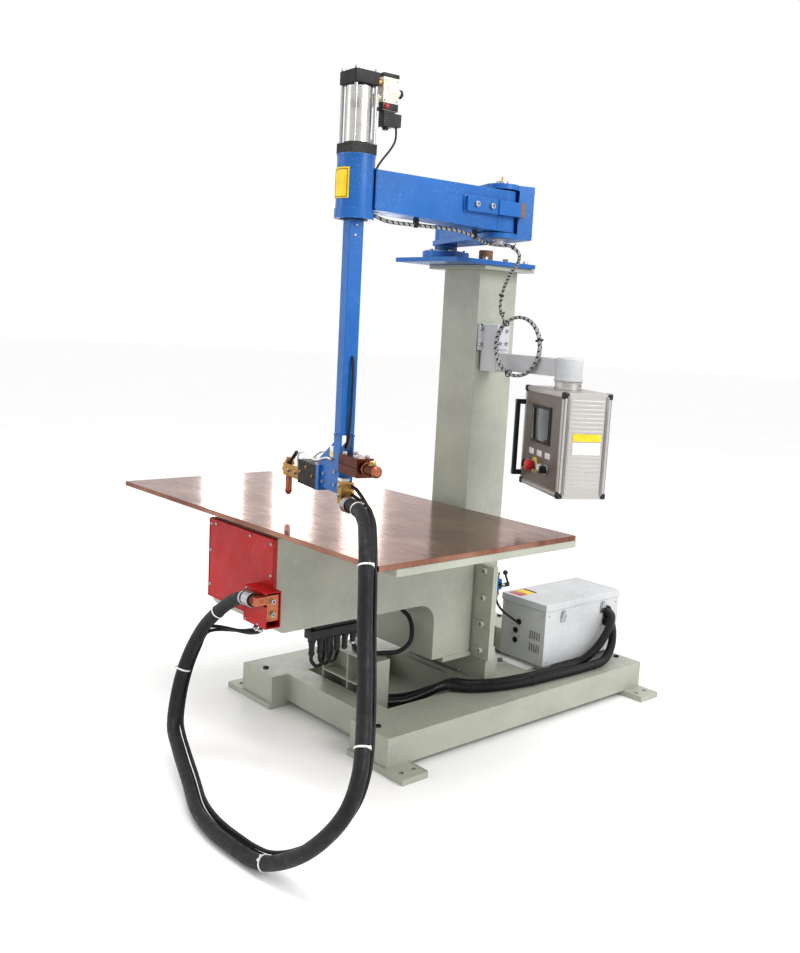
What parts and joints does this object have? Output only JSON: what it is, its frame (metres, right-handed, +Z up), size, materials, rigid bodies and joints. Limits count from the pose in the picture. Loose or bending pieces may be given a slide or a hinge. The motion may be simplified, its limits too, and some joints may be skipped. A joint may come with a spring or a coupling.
{
  "type": "table spot welder",
  "caption": "Table spot welder: copper work table on a base frame, a rear column with a double-jointed swing arm, an air cylinder ram, a weld cable, a control cabinet and an operator panel.",
  "frame": {"origin": "on the floor, under the middle of the bounding box of the machine without its free cables", "axes": "+X to the right of an operator who stands at the front, +Y towards the column at the rear, +Z up"},
  "size_m": [1.7112, 2.0547, 2.165],
  "materials": {
    "blue_paint": "satin blue enamel",
    "cream_paint": "satin grey-green cream enamel with light orange peel",
    "red_paint": "smooth dark red enamel on sheet metal",
    "grey_paint": "light grey powder coat",
    "panel_aluminium": "brushed and anodised",
    "cylinder_aluminium": "bright anodised tube",
    "black_paint": "satin black",
    "steel": "machined",
    "copper": "ground and worn copper",
    "brass": "machined",
    "hose_rubber": "matt black rubber hose",
    "black_plastic": "moulded",
    "conduit_plastic": "corrugated",
    "wrap_plastic": "spiral wrap over a dark cable",
    "white_plastic": "moulded",
    "ivory_plastic": "moulded",
    "red_plastic": "moulded",
    "insulator": "laminated insulating board",
    "brown_phenolic": "laminated cloth"
  },
  "bodies": {
    "base": {"base_frame": "cream_paint", "column": "cream_paint", "column_top_plate": "cream_paint", "swing_base_plate": "blue_paint", "pivot_post": "blue_paint", "stop_post": "brown_phenolic", "copper_table": "copper", "table_subframe": "cream_paint", "lower_arm": "cream_paint", "transformer": "steel", "front_cover": "red_paint", "terminal_hood": "red_paint", "terminal_block": "copper", "pedestal": "cream_paint", "jack_screw": "steel", "manifold": "black_plastic", "cabinet_body": "grey_paint", "control_module": "steel", "hand_valve_body": "blue_paint", "hmi_support_arm": "panel_aluminium", "signal_cable_coil": "wrap_plastic", "conduit_a": "conduit_plastic", "conduit_b": "conduit_plastic", "water_hose_loop": "hose_rubber", "weld_cable_lower": "hose_rubber", "signal_cable_drop": "wrap_plastic"},
    "swing_link": {"swing_link": "blue_paint", "elbow_pin": "steel", "weld_cable_middle": "hose_rubber"},
    "upper_arm": {"upper_arm": "blue_paint", "ram_housing": "blue_paint", "stop_bracket": "blue_paint", "stop_pad": "brown_phenolic", "cylinder_lower_cap": "black_paint", "cylinder_barrel": "cylinder_aluminium", "cylinder_upper_cap": "black_paint", "valve_body": "ivory_plastic", "valve_coil": "black_plastic", "air_fitting": "ivory_plastic", "air_tube": "white_plastic", "signal_cable_arm": "wrap_plastic", "weld_cable_upper": "hose_rubber"},
    "ram": {"piston_rod": "steel", "ram_tube": "blue_paint", "head_bracket": "blue_paint", "insulator_block": "insulator", "electrode_holder": "brass", "electrode": "copper", "rod_clamp": "copper", "electrode_rod": "copper", "cable_terminal": "brass"},
    "override": {"override_button": "red_plastic"},
    "lid": {"cabinet_lid": "grey_paint"},
    "valve_lever": {"hand_valve_lever": "black_plastic"},
    "operator_panel": {"hmi_box": "panel_aluminium", "hmi_handle": "black_plastic"},
    "estop": {"estop_button": "red_plastic"},
    "push": {"push_button": "white_plastic"},
    "selector_l": {"selector_left": "black_plastic"},
    "selector_r": {"selector_right": "black_plastic"}
  },
  "joints": [
    {"name": "column_swing", "type": "hinge", "parent": "base", "child": "swing_link", "pos_m": [0, 0.05, 1.82], "axis": [0, 0, 1], "range_deg": [-35, 20], "deforming": ["weld_cable_lower", "signal_cable_drop"]},
    {"name": "elbow_swing", "type": "hinge", "parent": "swing_link", "child": "upper_arm", "pos_m": [0.425, -0.118, 1.82], "axis": [0, 0, 1], "range_deg": [-40, 3], "deforming": ["weld_cable_middle", "signal_cable_arm"]},
    {"name": "ram_stroke", "type": "slide", "parent": "upper_arm", "child": "ram", "axis": [0, 0, -1], "range_m": [0, 0.05], "deforming": ["weld_cable_upper"]},
    {"name": "override_press", "type": "slide", "parent": "upper_arm", "child": "override", "axis": [-0.9976, 0.0698, 0], "range_m": [0, 0.002], "stiffness_N_per_m": 800},
    {"name": "lid_hinge", "type": "hinge", "parent": "base", "child": "lid", "pos_m": [0.067, 0.646, 0.372], "axis": [0, -1, 0], "range_deg": [0, 110]},
    {"name": "valve_lever_turn", "type": "hinge", "parent": "base", "child": "valve_lever", "pos_m": [0.131, 0.334, 0.455], "axis": [1, 0, 0], "range_deg": [0, 90]},
    {"name": "panel_swivel", "type": "hinge", "parent": "base", "child": "operator_panel", "pos_m": [0.5595, 0.124, 1.29], "axis": [0, 0, 1], "range_deg": [-60, 60]},
    {"name": "estop_press", "type": "slide", "parent": "operator_panel", "child": "estop", "axis": [0.454, 0.891, 0], "range_m": [0, 0.005], "stiffness_N_per_m": 1500},
    {"name": "push_press", "type": "slide", "parent": "operator_panel", "child": "push", "axis": [0.454, 0.891, 0], "range_m": [0, 0.004], "stiffness_N_per_m": 900},
    {"name": "selector_left_turn", "type": "hinge", "parent": "operator_panel", "child": "selector_l", "pos_m": [0.4313, 0.0883, 0.998], "axis": [-0.454, -0.891, 0], "range_deg": [-45, 45]},
    {"name": "selector_right_turn", "type": "hinge", "parent": "operator_panel", "child": "selector_r", "pos_m": [0.5739, 0.0157, 0.998], "axis": [-0.454, -0.891, 0], "range_deg": [-45, 45]}
  ]
}
